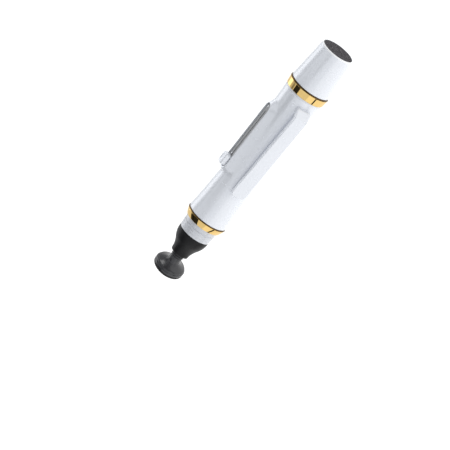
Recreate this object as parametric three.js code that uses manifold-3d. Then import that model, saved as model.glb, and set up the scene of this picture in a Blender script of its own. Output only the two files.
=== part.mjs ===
// A lens cleaning pen with a retractable brush, lying on its side with its thumb knob up.
//
// Millimetres. In the pen's own frame X runs along its axis: the brush mouth is at x = 0 and the
// cleaning head is at negative x. +Z is the side of the thumb knob and -Y the side of the clip.
// At rest the brush is drawn in, and the head leans on its flexible neck as it does on a lens.
// At the end the pen is moved so that the middle of its footprint is the origin.

import * as THREE from 'three';
import { ConvexGeometry } from 'three/addons/geometries/ConvexGeometry.js';
import { mergeVertices } from 'three/addons/utils/BufferGeometryUtils.js';
import Module from 'manifold-3d';

// ---------------------------------------------------------------- driving dimensions

const LARGE_FACETS = 48; // round the casing
const SMALL_FACETS = 32; // round the neck, the head and the brush
const FIT = 0.1; // play between fitted pieces
const SEAM = 0.05; // gap where two pieces butt together

// Stations along the pen, from the brush mouth back to the cleaning head
const MOUTH = 0;
const CONE_BACK = -16.75;
const BARREL_FRONT = -20.1;
const WAIST = -50;
const BARREL_BACK = -79.95;
const COLLAR_FRONT = -82.8;
const FUNNEL_FRONT = -88.1;
const FUNNEL_MOUTH = -97.7;

// Casing radii
const MOUTH_RADIUS = 6.7;
const CONE_RADIUS = 8.0;
const WAIST_RADIUS = 7.15;
const BARREL_FRONT_RADIUS = 7.85;
const BARREL_BACK_RADIUS = 8.0;
const BARREL_FLARE = 2.2; // exponent of the hourglass curve away from the waist
const BORE = 6.3;
const CONE_BORE = 6.25;
const EDGE = 0.25; // rounding of outer edges

// Joints between the casing pieces
const CONE_SPIGOT = 6.85;
const CONE_SPIGOT_LENGTH = 2.8; // as far as it goes into the barrel
const COLLAR_SPIGOT = 6.2;
const COLLAR_SPIGOT_LENGTH = 4.2;

// Trim rings
const UPPER_RING = { small: 8.05, large: 8.3, bulge: 0.06, chamfer: 0.5, drop: 0.35 };
const LOWER_RING = { small: 7.3, large: 8.17, bulge: 0.2, chamfer: 0.4, drop: 0.25 };

// Raised land for the slide, on the knob side
const LAND_HEIGHT = 8.6;
const LAND_HALF_WIDTH = 2.4;
const LAND_FRONT = -32.3; // centres of its round ends
const LAND_BACK = -58.3;
const LAND_FLANK = THREE.MathUtils.degToRad(52.7); // fall of its flanks
const LAND_FOOT = 4.3; // height at which the flanks end, inside the wall

// Slide track and slot
const TRACK_HALF_WIDTH = 2.2;
const TRACK_FRONT = -32.5;
const TRACK_BACK = -57.6;
const TRACK_FLOOR = 7.3;
const TRACK_TOP = 8.05;
const SLOT_HALF_WIDTH = 0.4;
const PIP_RADIUS = 0.28;
const PIPS = [
  { x: -31.8, y: 0.9 },
  { x: -54.1, y: 0.9 },
];
const TRAVEL = 22;

// Thumb knob and the blade that carries it
const KNOB_X = -56.95;
const KNOB = { halfLength: 2.4, halfWidth: 1.95, corner: 1.2, top: 10.7, round: 0.45, crown: 0.15 };
const BLADE_LENGTH = 2.8;
const BLADE_HALF_WIDTH = 0.25;
const BLADE_TOP = 9.7;
const BLADE_PLAY = 0.15; // end play of the blade in the slot

// Brush
const CARRIAGE_BACK = -60.4;
const CARRIAGE_FRONT = -31.5;
const CARRIAGE_RADIUS = 5.95;
const CARRIAGE_COLLAR = 7; // length of each guide collar
const CARRIAGE_WALL = 1.3;
const CARRIAGE_ROD = 3.2;
const FERRULE_RADIUS = 5.4;
const FERRULE_WALL = 0.5;
const FERRULE_DEPTH = 4; // held in the carriage
const FERRULE_FRONT = -24.2;
const FERRULE_BEAD = 1.4; // length of its rolled front edge
const FERRULE_BEAD_HEIGHT = 0.2;
const TUFT_BACK = -33;
const TUFT_FRONT = -0.2;
const TUFT_ROOT = 4.8;
const TUFT_RADIUS = 5.95;
const TUFT_BULGE = 0.2;
const DOME = 0.45; // depth of the rounded brush end

// Detent spring, a bowed leaf in front of the carriage's rear collar
const LEAF = { back: -53, front: -45, foot: 3.3, top: 5.9, thickness: 0.35, width: 3 };

// Pocket clip, on the side turned a quarter round from the knob
const CLIP = {
  tip: -65.1,
  root: -27.3,
  tipOuter: 8.9,
  tipInner: 7.5,
  rootOuter: 11.6,
  rootInner: 9.7,
  tipWidth: 5.8,
  rootWidth: 5.2,
  corner: 1.8,
  nose: 0.5, // rounding of the tip's outer edge
};
const ANCHOR = { back: -27, front: -23.4, ridge: 0.5, frontHeight: 9.25, foot: 6.4 };
const CLIP_WINDOW = { back: -26.4, front: -24.2, halfHeight: 1.9 };

// Neck collar
const COLLAR_SMALL = 6.3;
const COLLAR_LARGE = 6.75;
const COLLAR_GROOVES = [-84.7, -85.9, -86.9];
const GROOVE_WIDTH = 0.35;
const GROOVE_DEPTH = 0.16;
const COLLAR_WALL = 1.4;
const COLLAR_WEB = -84.1;
const COLLAR_WEB_THICKNESS = 1.6;

// Funnel and what it holds
const FUNNEL_RADII = [6.3, 6.2, 5.6, 4.55, 3.8, 3.5]; // evenly spaced, from the collar
const FUNNEL_BORE = 2.95;
const FUNNEL_BORE_END = -94.5;
const FUNNEL_CAVITY = 4;
const FUNNEL_CAVITY_START = -91.6;
const FUNNEL_SPIGOT = 5;
const FUNNEL_SPIGOT_LENGTH = 3.8;
const ROOT = { back: -94.3, neckEnd: -91.9, footStart: -90.6, front: -88.4, radius: 2.75 };
const RETAINER = { back: -88.35, front: -85, bore: 1.5 };

// Flexible neck: it bends at two crossed axes
const STEM_PIVOT = -97;
const HEAD_PIVOT = -101.1;
const STEM_RADIUS = 2.35;
const STEM_GROOVES = [-98.45, -99.3];
const STEM_GROOVE = { width: 0.4, depth: 0.18 };
const BALL_PLAY = 0.3;

// Cleaning head, measured from its own pivot
const HEAD_RADIUS = 6;
const HEAD_CONE_END = -1.75;
const HEAD_CONE_RADIUS = 5.15;
const HEAD_CONE_BULGE = -0.28; // hollow of the cone's flank
const HEAD_LIP = { start: -1.85, end: -2.25, radius: 5.45 };
const HEAD_FACE = -3.45;
const CUSHION_RADIUS = 5;
const CUSHION_THICKNESS = 0.8;
const PAD_THICKNESS = 0.8;
const PAD_ROUND = 0.2;
const HEAD_LEAN = THREE.MathUtils.degToRad(16);
const HEAD_LEAN_AXIS = new THREE.Vector3(0, -0.454, -0.891).normalize();

// ---------------------------------------------------------------- finishes

const finish = (color, roughness, metalness = 0) => ({ color, roughness, metalness });
const PEARL_WHITE = finish(0xe6e8ee, 0.28);
const GOLD = finish(0xe8bf6a, 0.18, 1);
const BLACK_RUBBER = finish(0x1c1c1f, 0.5);
const BLACK_PLASTIC = finish(0x26262a, 0.35);
const GREY_PLASTIC = finish(0x88898d, 0.5);
const BRISTLE = finish(0x3c3a3e, 0.8);
const SUEDE = finish(0x1a1a1a, 0.95);
const FOAM = finish(0x2a2a2c, 0.95);
const STEEL = finish(0xb8babd, 0.3, 1);
const TIN = finish(0xc9cace, 0.35, 1);

// ---------------------------------------------------------------- shape helpers

const wasm = await Module();
wasm.setup();

// A closed geometry as a solid that can be cut and joined.
function solidOf(geometry) {
  const bare = geometry.clone();
  bare.deleteAttribute('normal');
  bare.deleteAttribute('uv');
  const merged = mergeVertices(bare);
  const mesh = new wasm.Mesh({
    numProp: 3,
    vertProperties: new Float32Array(merged.attributes.position.array),
    triVerts: new Uint32Array(merged.index.array),
  });
  return new wasm.Manifold(mesh);
}

function geometryOf(solid) {
  const { vertProperties, triVerts } = solid.getMesh();
  const geometry = new THREE.BufferGeometry();
  geometry.setAttribute('position', new THREE.BufferAttribute(vertProperties, 3));
  geometry.setIndex(new THREE.BufferAttribute(triVerts, 1));
  geometry.computeVertexNormals();
  return geometry;
}

// A body of revolution about X. The outline is a list of [x, radius]: it runs towards the
// brush along the outside and back along the inside, from axis to axis or round to its start.
function turned(outline, facets = LARGE_FACETS) {
  const points = outline.map(([x, radius]) => new THREE.Vector2(radius, x));
  return new THREE.LatheGeometry(points, facets).rotateZ(-Math.PI / 2);
}

// Points of a smooth curve between two outline points, raised by bulge at its middle.
function curved([x0, r0], [x1, r1], bulge, steps = 4) {
  const top = new THREE.Vector2((x0 + x1) / 2, (r0 + r1) / 2 + 2 * bulge);
  const start = new THREE.Vector2(x0, r0);
  const curve = new THREE.QuadraticBezierCurve(start, top, new THREE.Vector2(x1, r1));
  return curve.getPoints(steps).map((p) => [p.x, p.y]);
}

// Points of a quarter of a circle about a point on the axis, from the rim to the axis.
function quarterBall(x, radius, steps = 4) {
  return Array.from({ length: steps + 1 }, (_, i) => {
    const turn = (i / steps) * (Math.PI / 2);
    return [x + radius * Math.sin(turn), i === steps ? 0 : radius * Math.cos(turn)];
  });
}

// Points round a stretch with round ends, about centres on the X axis, in order.
function stadiumPoints(back, front, halfWidth, steps = 12) {
  const ends = [
    [front, -Math.PI / 2],
    [back, Math.PI / 2],
  ];
  return ends.flatMap(([centre, start]) =>
    Array.from({ length: steps + 1 }, (_, i) => {
      const turn = start + (i / steps) * Math.PI;
      const x = centre + halfWidth * Math.cos(turn);
      return new THREE.Vector2(x, halfWidth * Math.sin(turn));
    }),
  );
}

// An upright prism with round ends, along X.
function stadium(back, front, halfWidth, bottom, top) {
  const shape = new THREE.Shape(stadiumPoints(back, front, halfWidth));
  const depth = top - bottom;
  const options = { depth, bevelEnabled: false };
  return new THREE.ExtrudeGeometry(shape, options).translate(0, 0, bottom);
}

function box(x0, x1, y0, y1, z0, z1) {
  const block = new THREE.BoxGeometry(x1 - x0, y1 - y0, z1 - z0);
  return block.translate((x0 + x1) / 2, (y0 + y1) / 2, (z0 + z1) / 2);
}

// A shape drawn in the X-Y plane, made thick along Z about the middle.
function slab(shape, thickness) {
  const options = { depth: thickness, bevelEnabled: false, curveSegments: 6 };
  return new THREE.ExtrudeGeometry(shape, options).translate(0, 0, -thickness / 2);
}

const pointList = (pairs) => pairs.map(([x, y]) => new THREE.Vector2(x, y));

function piece(name, geometry, look) {
  const mesh = new THREE.Mesh(geometry, new THREE.MeshStandardMaterial(look));
  mesh.name = name;
  return mesh;
}

// ---------------------------------------------------------------- casing

// Outside radius of the hourglass barrel.
function barrelRadius(x) {
  const towardsBrush = x > WAIST;
  const end = towardsBrush ? BARREL_FRONT : BARREL_BACK;
  const endRadius = towardsBrush ? BARREL_FRONT_RADIUS : BARREL_BACK_RADIUS;
  const share = Math.abs((x - WAIST) / (end - WAIST));
  return WAIST_RADIUS + (endRadius - WAIST_RADIUS) * share ** BARREL_FLARE;
}

function barrelOutside(growth = 0, steps = 16) {
  return Array.from({ length: steps + 1 }, (_, i) => {
    const x = THREE.MathUtils.lerp(BARREL_BACK, BARREL_FRONT, i / steps);
    return [x, barrelRadius(x) + growth];
  });
}

// The raised land: a block with round ends and sloping flanks.
function landBlock() {
  const spread = (LAND_HEIGHT - LAND_FOOT) / Math.tan(LAND_FLANK);
  const rings = [
    [LAND_HALF_WIDTH, LAND_HEIGHT],
    [LAND_HALF_WIDTH + spread, LAND_FOOT],
  ];
  const points = rings.flatMap(([halfWidth, z]) =>
    stadiumPoints(LAND_BACK, LAND_FRONT, halfWidth).map((p) => new THREE.Vector3(p.x, p.y, z)),
  );
  return new ConvexGeometry(points);
}

function slotPrism(growth = 0) {
  const reach = BLADE_LENGTH / 2 + BLADE_PLAY;
  const half = SLOT_HALF_WIDTH + growth;
  const back = KNOB_X - reach + half;
  const front = KNOB_X + TRAVEL + reach - half;
  return stadium(back, front, half, LAND_FOOT, LAND_HEIGHT + 1);
}

function barrel() {
  const shell = solidOf(turned([[BARREL_BACK, 0], ...barrelOutside(), [BARREL_FRONT, 0]]));
  const counterboreEnd = BARREL_FRONT - CONE_SPIGOT_LENGTH - FIT;
  const counterbore = CONE_SPIGOT + FIT;
  const hollow = turned([
    [BARREL_BACK - 1, 0],
    [BARREL_BACK - 1, BORE],
    [counterboreEnd, BORE],
    [counterboreEnd, counterbore],
    [BARREL_FRONT + 1, counterbore],
    [BARREL_FRONT + 1, 0],
  ]);
  const trackPocket = stadium(
    TRACK_BACK,
    TRACK_FRONT,
    TRACK_HALF_WIDTH + FIT,
    TRACK_FLOOR - SEAM,
    LAND_HEIGHT + 1,
  );
  const { back, front, halfHeight } = CLIP_WINDOW;
  const window = box(back, front, -BARREL_BACK_RADIUS, -BORE + 1, -halfHeight, halfHeight);
  const cuts = [hollow, trackPocket, slotPrism(), window].map(solidOf);
  return cuts.reduce((left, cut) => left.subtract(cut), shell.add(solidOf(landBlock())));
}

function brushCone() {
  const spigotEnd = BARREL_FRONT - CONE_SPIGOT_LENGTH;
  return turned([
    [spigotEnd, CONE_BORE],
    [spigotEnd, CONE_SPIGOT],
    [CONE_BACK, CONE_SPIGOT],
    [CONE_BACK, CONE_RADIUS - EDGE],
    [CONE_BACK + EDGE, CONE_RADIUS],
    [MOUTH - EDGE, MOUTH_RADIUS],
    [MOUTH, MOUTH_RADIUS - EDGE / 2],
    [MOUTH, CONE_BORE],
    [spigotEnd, CONE_BORE],
  ]);
}

// A bulging trim ring that widens towards the brush, with a chamfer on that side.
function trimRing(back, front, bore, { small, large, bulge, chamfer, drop }) {
  return turned([
    [back, bore],
    ...curved([back, small], [front - chamfer, large], bulge),
    [front, large - drop],
    [front, bore],
    [back, bore],
  ]);
}

function sliderTrack() {
  const plate = stadium(TRACK_BACK, TRACK_FRONT, TRACK_HALF_WIDTH, TRACK_FLOOR, TRACK_TOP);
  const slot = solidOf(slotPrism());
  const pips = PIPS.map(({ x, y }) =>
    solidOf(new THREE.SphereGeometry(PIP_RADIUS, 12, 8).translate(x, y, TRACK_TOP)),
  );
  return pips.reduce((left, pip) => left.subtract(pip), solidOf(plate).subtract(slot));
}

// ---------------------------------------------------------------- brush and its slide

// One level of a block with rounded upright corners, about the origin.
function roundedLevel(halfLength, halfWidth, corner, z, steps = 4) {
  const corners = [
    [1, 1],
    [-1, 1],
    [-1, -1],
    [1, -1],
  ];
  return corners.flatMap(([sideX, sideY], quarter) =>
    Array.from({ length: steps + 1 }, (_, step) => {
      const angle = ((quarter + step / steps) * Math.PI) / 2;
      const x = sideX * (halfLength - corner) + corner * Math.cos(angle);
      const y = sideY * (halfWidth - corner) + corner * Math.sin(angle);
      return new THREE.Vector3(x, y, z);
    }),
  );
}

function thumbKnob() {
  const { halfLength, halfWidth, corner, top, round, crown } = KNOB;
  const bottom = TRACK_TOP + FIT;
  const levels = [
    [0, bottom],
    [0, top - crown - round],
    [round / 3, top - crown - round / 3],
    [round, top - crown],
    [corner, top],
  ];
  const points = levels.flatMap(([inset, z]) =>
    roundedLevel(halfLength - inset, halfWidth - inset, Math.max(corner - inset, EDGE), z),
  );
  const reach = BLADE_LENGTH / 2 + FIT;
  const side = BLADE_HALF_WIDTH + FIT;
  const socket = box(-reach, reach, -side, side, bottom - 1, BLADE_TOP + FIT);
  return solidOf(new ConvexGeometry(points)).subtract(solidOf(socket)).translate([KNOB_X, 0, 0]);
}

function brushCarriage() {
  const rodBack = CARRIAGE_BACK + CARRIAGE_COLLAR;
  const rodFront = CARRIAGE_FRONT - CARRIAGE_COLLAR;
  const cupRadius = CARRIAGE_RADIUS - CARRIAGE_WALL;
  const cupEnd = rodBack - CARRIAGE_WALL;
  const socket = FERRULE_RADIUS + SEAM;
  const socketEnd = CARRIAGE_FRONT - FERRULE_DEPTH - SEAM;
  const outline = [
    [cupEnd, 0],
    [cupEnd, cupRadius],
    [CARRIAGE_BACK, cupRadius],
    [CARRIAGE_BACK, CARRIAGE_RADIUS - EDGE],
    [CARRIAGE_BACK + EDGE, CARRIAGE_RADIUS],
    [rodBack, CARRIAGE_RADIUS],
    [rodBack, CARRIAGE_ROD],
    [rodFront, CARRIAGE_ROD],
    [rodFront, CARRIAGE_RADIUS],
    [CARRIAGE_FRONT - EDGE, CARRIAGE_RADIUS],
    [CARRIAGE_FRONT, CARRIAGE_RADIUS - EDGE],
    [CARRIAGE_FRONT, socket],
    [socketEnd, socket],
    [socketEnd, 0],
  ];
  const body = solidOf(turned(outline, SMALL_FACETS));
  const back = KNOB_X - BLADE_LENGTH / 2;
  const front = back + BLADE_LENGTH;
  const root = cupRadius + SEAM;
  const blade = box(back, front, -BLADE_HALF_WIDTH, BLADE_HALF_WIDTH, root, BLADE_TOP);
  return body.add(solidOf(blade));
}

function brushFerrule() {
  const back = CARRIAGE_FRONT - FERRULE_DEPTH;
  const bore = FERRULE_RADIUS - FERRULE_WALL;
  const bead = [FERRULE_FRONT - FERRULE_BEAD, FERRULE_RADIUS];
  const outline = [
    [back, bore],
    [back, FERRULE_RADIUS],
    ...curved(bead, [FERRULE_FRONT, FERRULE_RADIUS], FERRULE_BEAD_HEIGHT),
    [FERRULE_FRONT, bore],
    [back, bore],
  ];
  return turned(outline, SMALL_FACETS);
}

function bristleTuft() {
  const outline = [
    [TUFT_BACK, 0],
    [TUFT_BACK, TUFT_ROOT],
    ...curved([FERRULE_FRONT, TUFT_ROOT], [TUFT_FRONT - DOME, TUFT_RADIUS], TUFT_BULGE, 6),
    [TUFT_FRONT - DOME / 2, TUFT_RADIUS - DOME / 2],
    [TUFT_FRONT, 0],
  ];
  return turned(outline, SMALL_FACETS);
}

// A bowed leaf: feet on the carriage's rod, crown against the top of the bore.
function detentSpring() {
  const { back, front, foot, top, thickness, width } = LEAF;
  const middle = (back + front) / 2;
  const crown = 2 * top - foot;
  const shape = new THREE.Shape();
  shape.moveTo(back, foot);
  shape.lineTo(back + 0.6, foot);
  shape.quadraticCurveTo(middle, crown - 2 * thickness, front - 0.6, foot);
  shape.lineTo(front, foot);
  shape.lineTo(front, foot + thickness);
  shape.lineTo(front - 0.4, foot + thickness);
  shape.quadraticCurveTo(middle, crown, back + 0.4, foot + thickness);
  shape.lineTo(back, foot + thickness);
  shape.closePath();
  return slab(shape, width).rotateX(Math.PI / 2);
}

// ---------------------------------------------------------------- pocket clip

// The outline of the whole clip seen from its outside, with rounded tip corners.
function clipPlan(back, front) {
  const { tip, root, tipWidth, rootWidth, corner, rootOuter } = CLIP;
  const halfAt = (x) => {
    const share = THREE.MathUtils.clamp((x - tip) / (root - tip), 0, 1);
    return THREE.MathUtils.lerp(tipWidth, rootWidth, share) / 2;
  };
  const shape = new THREE.Shape();
  const roundEnd = back === tip ? corner : EDGE;
  const near = halfAt(back);
  const far = halfAt(front);
  shape.moveTo(back, -near + roundEnd);
  shape.quadraticCurveTo(back, -near, back + roundEnd, -near);
  shape.lineTo(front, -far);
  shape.lineTo(front, far);
  shape.lineTo(back + roundEnd, near);
  shape.quadraticCurveTo(back, near, back, near - roundEnd);
  shape.closePath();
  return slab(shape, 3 * rootOuter).rotateX(Math.PI / 2);
}

function clipArm() {
  const { tip, root, tipOuter, tipInner, rootOuter, rootInner, rootWidth, nose } = CLIP;
  const side = new THREE.Shape(
    pointList([
      [tip, -tipInner],
      [tip, -tipOuter + nose],
      [tip + nose, -tipOuter],
      [root, -rootOuter],
      [root, -rootInner],
    ]),
  );
  return solidOf(slab(side, 2 * rootWidth)).intersect(solidOf(clipPlan(tip, root)));
}

function clipAnchor() {
  const { back, front, ridge, frontHeight, foot } = ANCHOR;
  const { rootOuter, rootWidth } = CLIP;
  const side = new THREE.Shape(
    pointList([
      [back, -BORE],
      [back, -rootOuter],
      [back + ridge, -rootOuter],
      [front, -frontHeight],
      [front, -BORE],
    ]),
  );
  const envelope = turned([[BARREL_BACK, 0], ...barrelOutside(FIT), [BARREL_FRONT, 0]]);
  const window = CLIP_WINDOW;
  const height = window.halfHeight - FIT;
  const reach = barrelRadius(front) + 1;
  const tongue = box(window.back + FIT, window.front - FIT, -reach, -foot, -height, height);
  const block = solidOf(slab(side, 2 * rootWidth)).intersect(solidOf(clipPlan(back, front)));
  return block.subtract(solidOf(envelope)).add(solidOf(tongue));
}

// ---------------------------------------------------------------- neck and funnel

function neckCollar() {
  const radiusAt = (x) => {
    const share = (x - FUNNEL_FRONT) / (COLLAR_FRONT - FUNNEL_FRONT);
    return THREE.MathUtils.lerp(COLLAR_SMALL, COLLAR_LARGE, share);
  };
  const half = GROOVE_WIDTH / 2;
  const grooves = COLLAR_GROOVES.toReversed().flatMap((x) => [
    [x - half, radiusAt(x - half)],
    [x - half / 2, radiusAt(x) - GROOVE_DEPTH],
    [x + half / 2, radiusAt(x) - GROOVE_DEPTH],
    [x + half, radiusAt(x + half)],
  ]);
  const recess = FUNNEL_SPIGOT + FIT;
  const spigotEnd = BARREL_BACK + COLLAR_SPIGOT_LENGTH;
  const tube = COLLAR_SPIGOT - COLLAR_WALL;
  const webFront = COLLAR_WEB + COLLAR_WEB_THICKNESS;
  const outline = [
    [COLLAR_WEB, 0],
    [COLLAR_WEB, recess],
    [FUNNEL_FRONT, recess],
    [FUNNEL_FRONT, COLLAR_SMALL],
    ...grooves,
    [COLLAR_FRONT, COLLAR_LARGE],
    [COLLAR_FRONT, COLLAR_SPIGOT],
    [spigotEnd, COLLAR_SPIGOT],
    [spigotEnd, tube],
    [webFront, tube],
    [webFront, 0],
  ];
  return turned(outline, SMALL_FACETS);
}

// The bell-shaped skirt: a smooth curve through evenly spaced radii.
function tipFunnel() {
  const front = FUNNEL_FRONT - SEAM;
  const points = FUNNEL_RADII.map((radius, i) => {
    const share = i / (FUNNEL_RADII.length - 1);
    return new THREE.Vector2(THREE.MathUtils.lerp(front, FUNNEL_MOUTH, share), radius);
  });
  const bell = new THREE.SplineCurve(points.toReversed()).getPoints(10).map((p) => [p.x, p.y]);
  const spigotEnd = front + FUNNEL_SPIGOT_LENGTH;
  const outline = [
    [FUNNEL_MOUTH, FUNNEL_BORE],
    ...bell,
    [front, FUNNEL_SPIGOT],
    [spigotEnd, FUNNEL_SPIGOT],
    [spigotEnd, FUNNEL_CAVITY],
    [FUNNEL_CAVITY_START, FUNNEL_CAVITY],
    [FUNNEL_BORE_END, FUNNEL_BORE],
    [FUNNEL_MOUTH, FUNNEL_BORE],
  ];
  return turned(outline, SMALL_FACETS);
}

// The rubber root of the neck, held in the funnel, with a wide foot.
function stemRoot() {
  const { back, neckEnd, footStart, front, radius } = ROOT;
  const foot = FUNNEL_CAVITY - FIT;
  const outline = [
    [back, 0],
    [back, radius],
    [neckEnd, radius],
    [footStart, foot],
    [front, foot],
    [front, 0],
  ];
  return turned(outline, SMALL_FACETS);
}

function stemRetainer() {
  const { back, front, bore } = RETAINER;
  const radius = FUNNEL_CAVITY - SEAM;
  const outline = [
    [back, bore],
    [back, radius],
    [front, radius],
    [front, bore],
    [back, bore],
  ];
  return turned(outline, SMALL_FACETS);
}

// The bare part of the neck: a hollow end for the head's ball, and a round end in the funnel.
function flexStem() {
  const cup = STEM_RADIUS + BALL_PLAY;
  const rimTurn = Math.asin(STEM_RADIUS / cup);
  const steps = 3;
  const hollowEnd = Array.from({ length: steps + 1 }, (_, i) => {
    const turn = (i / steps) * rimTurn;
    return [HEAD_PIVOT + cup * Math.cos(turn), cup * Math.sin(turn)];
  });
  const { width, depth } = STEM_GROOVE;
  const grooves = STEM_GROOVES.toReversed().flatMap((x) => [
    [x - width / 2, STEM_RADIUS],
    [x - width / 4, STEM_RADIUS - depth],
    [x + width / 4, STEM_RADIUS - depth],
    [x + width / 2, STEM_RADIUS],
  ]);
  return turned([...hollowEnd, ...grooves, ...quarterBall(STEM_PIVOT, STEM_RADIUS)], SMALL_FACETS);
}

// ---------------------------------------------------------------- cleaning head

function headCup() {
  const seat = HEAD_FACE + CUSHION_THICKNESS + SEAM;
  const seatRadius = CUSHION_RADIUS + SEAM;
  const { start, end, radius } = HEAD_LIP;
  const outline = [
    [seat, 0],
    [seat, seatRadius],
    [HEAD_FACE, seatRadius],
    [HEAD_FACE, HEAD_RADIUS - EDGE],
    [HEAD_FACE + EDGE, HEAD_RADIUS],
    [end - 2 * EDGE, HEAD_RADIUS],
    [end - EDGE / 2, radius + EDGE],
    [end, radius],
    [start, radius],
    ...curved([HEAD_CONE_END, HEAD_CONE_RADIUS], [-SEAM, STEM_RADIUS], HEAD_CONE_BULGE, 6),
    ...quarterBall(0, STEM_RADIUS),
  ];
  return turned(outline, SMALL_FACETS);
}

function disc(back, front, radius, rounding) {
  const outline = [
    [back, 0],
    [back, radius - rounding],
    [back + rounding, radius],
    [front, radius],
    [front, 0],
  ];
  return turned(outline, SMALL_FACETS);
}

function cleaningHead() {
  const cushionBack = HEAD_FACE;
  const padFront = HEAD_FACE - SEAM;
  const cushion = disc(cushionBack, cushionBack + CUSHION_THICKNESS, CUSHION_RADIUS, PAD_ROUND);
  const pad = disc(padFront - PAD_THICKNESS, padFront, HEAD_RADIUS, PAD_ROUND);
  const head = new THREE.Group();
  head.add(
    piece('head_cup', headCup(), BLACK_PLASTIC),
    piece('pad_cushion', cushion, FOAM),
    piece('cleaning_pad', pad, SUEDE),
  );
  head.position.set(HEAD_PIVOT, 0, 0);
  head.quaternion.setFromAxisAngle(HEAD_LEAN_AXIS, HEAD_LEAN);
  return head;
}

// ---------------------------------------------------------------- assembly

const pen = new THREE.Group();
pen.add(
  piece('barrel', geometryOf(barrel()), PEARL_WHITE),
  piece('brush_cone', brushCone(), PEARL_WHITE),
  piece(
    'upper_trim_ring',
    trimRing(BARREL_FRONT + SEAM, CONE_BACK - SEAM, CONE_SPIGOT + FIT, UPPER_RING),
    GOLD,
  ),
  piece(
    'lower_trim_ring',
    trimRing(COLLAR_FRONT + SEAM, BARREL_BACK - SEAM, COLLAR_SPIGOT + FIT, LOWER_RING),
    GOLD,
  ),
  piece('slider_track', geometryOf(sliderTrack()), GREY_PLASTIC),
  piece('thumb_knob', geometryOf(thumbKnob()), PEARL_WHITE),
  piece('brush_carriage', geometryOf(brushCarriage()), GREY_PLASTIC),
  piece('detent_spring', detentSpring(), STEEL),
  piece('brush_ferrule', brushFerrule(), TIN),
  piece('bristle_tuft', bristleTuft(), BRISTLE),
  piece('clip_anchor', geometryOf(clipAnchor()), PEARL_WHITE),
  piece('clip_arm', geometryOf(clipArm()), PEARL_WHITE),
  piece('neck_collar', neckCollar(), PEARL_WHITE),
  piece('tip_funnel', tipFunnel(), BLACK_PLASTIC),
  piece('stem_root', stemRoot(), BLACK_RUBBER),
  piece('stem_retainer', stemRetainer(), GREY_PLASTIC),
  piece('flex_stem', flexStem(), BLACK_RUBBER),
  cleaningHead(),
);

// Stands the pen on the plane z = 0, with the middle of its footprint at the origin.
const bounds = new THREE.Box3().setFromObject(pen, true);
const middle = bounds.getCenter(new THREE.Vector3());
pen.position.set(-middle.x, -middle.y, -bounds.min.z);

const group = new THREE.Group();
group.add(pen);

export default group;
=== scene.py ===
import math

import bmesh
import bpy
import numpy as np
from mathutils import Matrix, Vector


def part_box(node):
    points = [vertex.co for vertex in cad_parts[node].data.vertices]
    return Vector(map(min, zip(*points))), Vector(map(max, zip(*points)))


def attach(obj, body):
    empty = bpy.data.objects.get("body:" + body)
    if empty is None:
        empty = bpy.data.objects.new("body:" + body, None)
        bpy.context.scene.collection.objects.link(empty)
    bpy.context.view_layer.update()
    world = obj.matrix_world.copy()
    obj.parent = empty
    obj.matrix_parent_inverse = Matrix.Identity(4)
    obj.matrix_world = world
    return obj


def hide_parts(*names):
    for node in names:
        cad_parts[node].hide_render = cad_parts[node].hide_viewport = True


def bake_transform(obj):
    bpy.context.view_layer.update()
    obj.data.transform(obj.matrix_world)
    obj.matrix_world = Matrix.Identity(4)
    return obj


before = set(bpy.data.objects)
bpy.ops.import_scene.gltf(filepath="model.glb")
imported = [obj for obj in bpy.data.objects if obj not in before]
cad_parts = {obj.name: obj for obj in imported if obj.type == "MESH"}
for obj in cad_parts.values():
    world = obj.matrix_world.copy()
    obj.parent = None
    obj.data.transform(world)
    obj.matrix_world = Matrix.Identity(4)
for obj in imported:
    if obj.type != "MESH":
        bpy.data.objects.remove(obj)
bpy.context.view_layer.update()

MM = 0.001
SHARP = 35  # edges over this many degrees stay sharp
RNG = np.random.default_rng(7)

# ---------------------------------------------------------------- the pen's own frame

# X runs along the pen with the brush mouth at 0, +Z is the knob's side and -Y the clip's.
RING_LOW, RING_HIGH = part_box("upper_trim_ring")
MOUTH = Vector((
    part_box("brush_cone")[1].x,
    (RING_LOW.y + RING_HIGH.y) / 2,
    (RING_LOW.z + RING_HIGH.z) / 2,
))


def at(x, y, z):
    """A point of the pen's own frame, in millimetres, as a point of the row frame."""
    return MOUTH + Vector((x, y, z)) * MM


# ---------------------------------------------------------------- mesh helpers


def finish_mesh(name, vertices, faces, sharp=SHARP):
    """An object of the given vertices (row frame, metres), smooth but for its sharp edges."""
    mesh = bpy.data.meshes.new(name)
    mesh.from_pydata([tuple(v) for v in vertices], [], faces)
    mesh.validate()
    mesh.update()
    mesh.shade_smooth()
    mesh.set_sharp_from_angle(angle=math.radians(sharp))
    obj = bpy.data.objects.new(name, mesh)
    bpy.context.scene.collection.objects.link(obj)
    return obj


def rounded(outline, radii, steps=5, closed=True):
    """The outline with each corner replaced by an arc; radii is one number or a list."""
    points = [Vector(p) for p in outline]
    count = len(points)
    if isinstance(radii, (int, float)):
        radii = [radii] * count
    result = []
    for i, corner in enumerate(points):
        at_end = not closed and i in (0, count - 1)
        if at_end or radii[i] <= 0:
            result.append(tuple(corner))
            continue
        before = points[i - 1] - corner
        after = points[(i + 1) % count] - corner
        half = before.angle(after) / 2
        if half > math.radians(88):
            result.append(tuple(corner))
            continue
        reach = radii[i] / math.tan(half)
        reach = min(reach, before.length * 0.48, after.length * 0.48)
        start = corner + before.normalized() * reach
        end = corner + after.normalized() * reach
        for step in range(steps + 1):
            t = step / steps
            p = start * (1 - t) ** 2 + corner * 2 * t * (1 - t) + end * t ** 2
            result.append(tuple(p))
    return result


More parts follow.
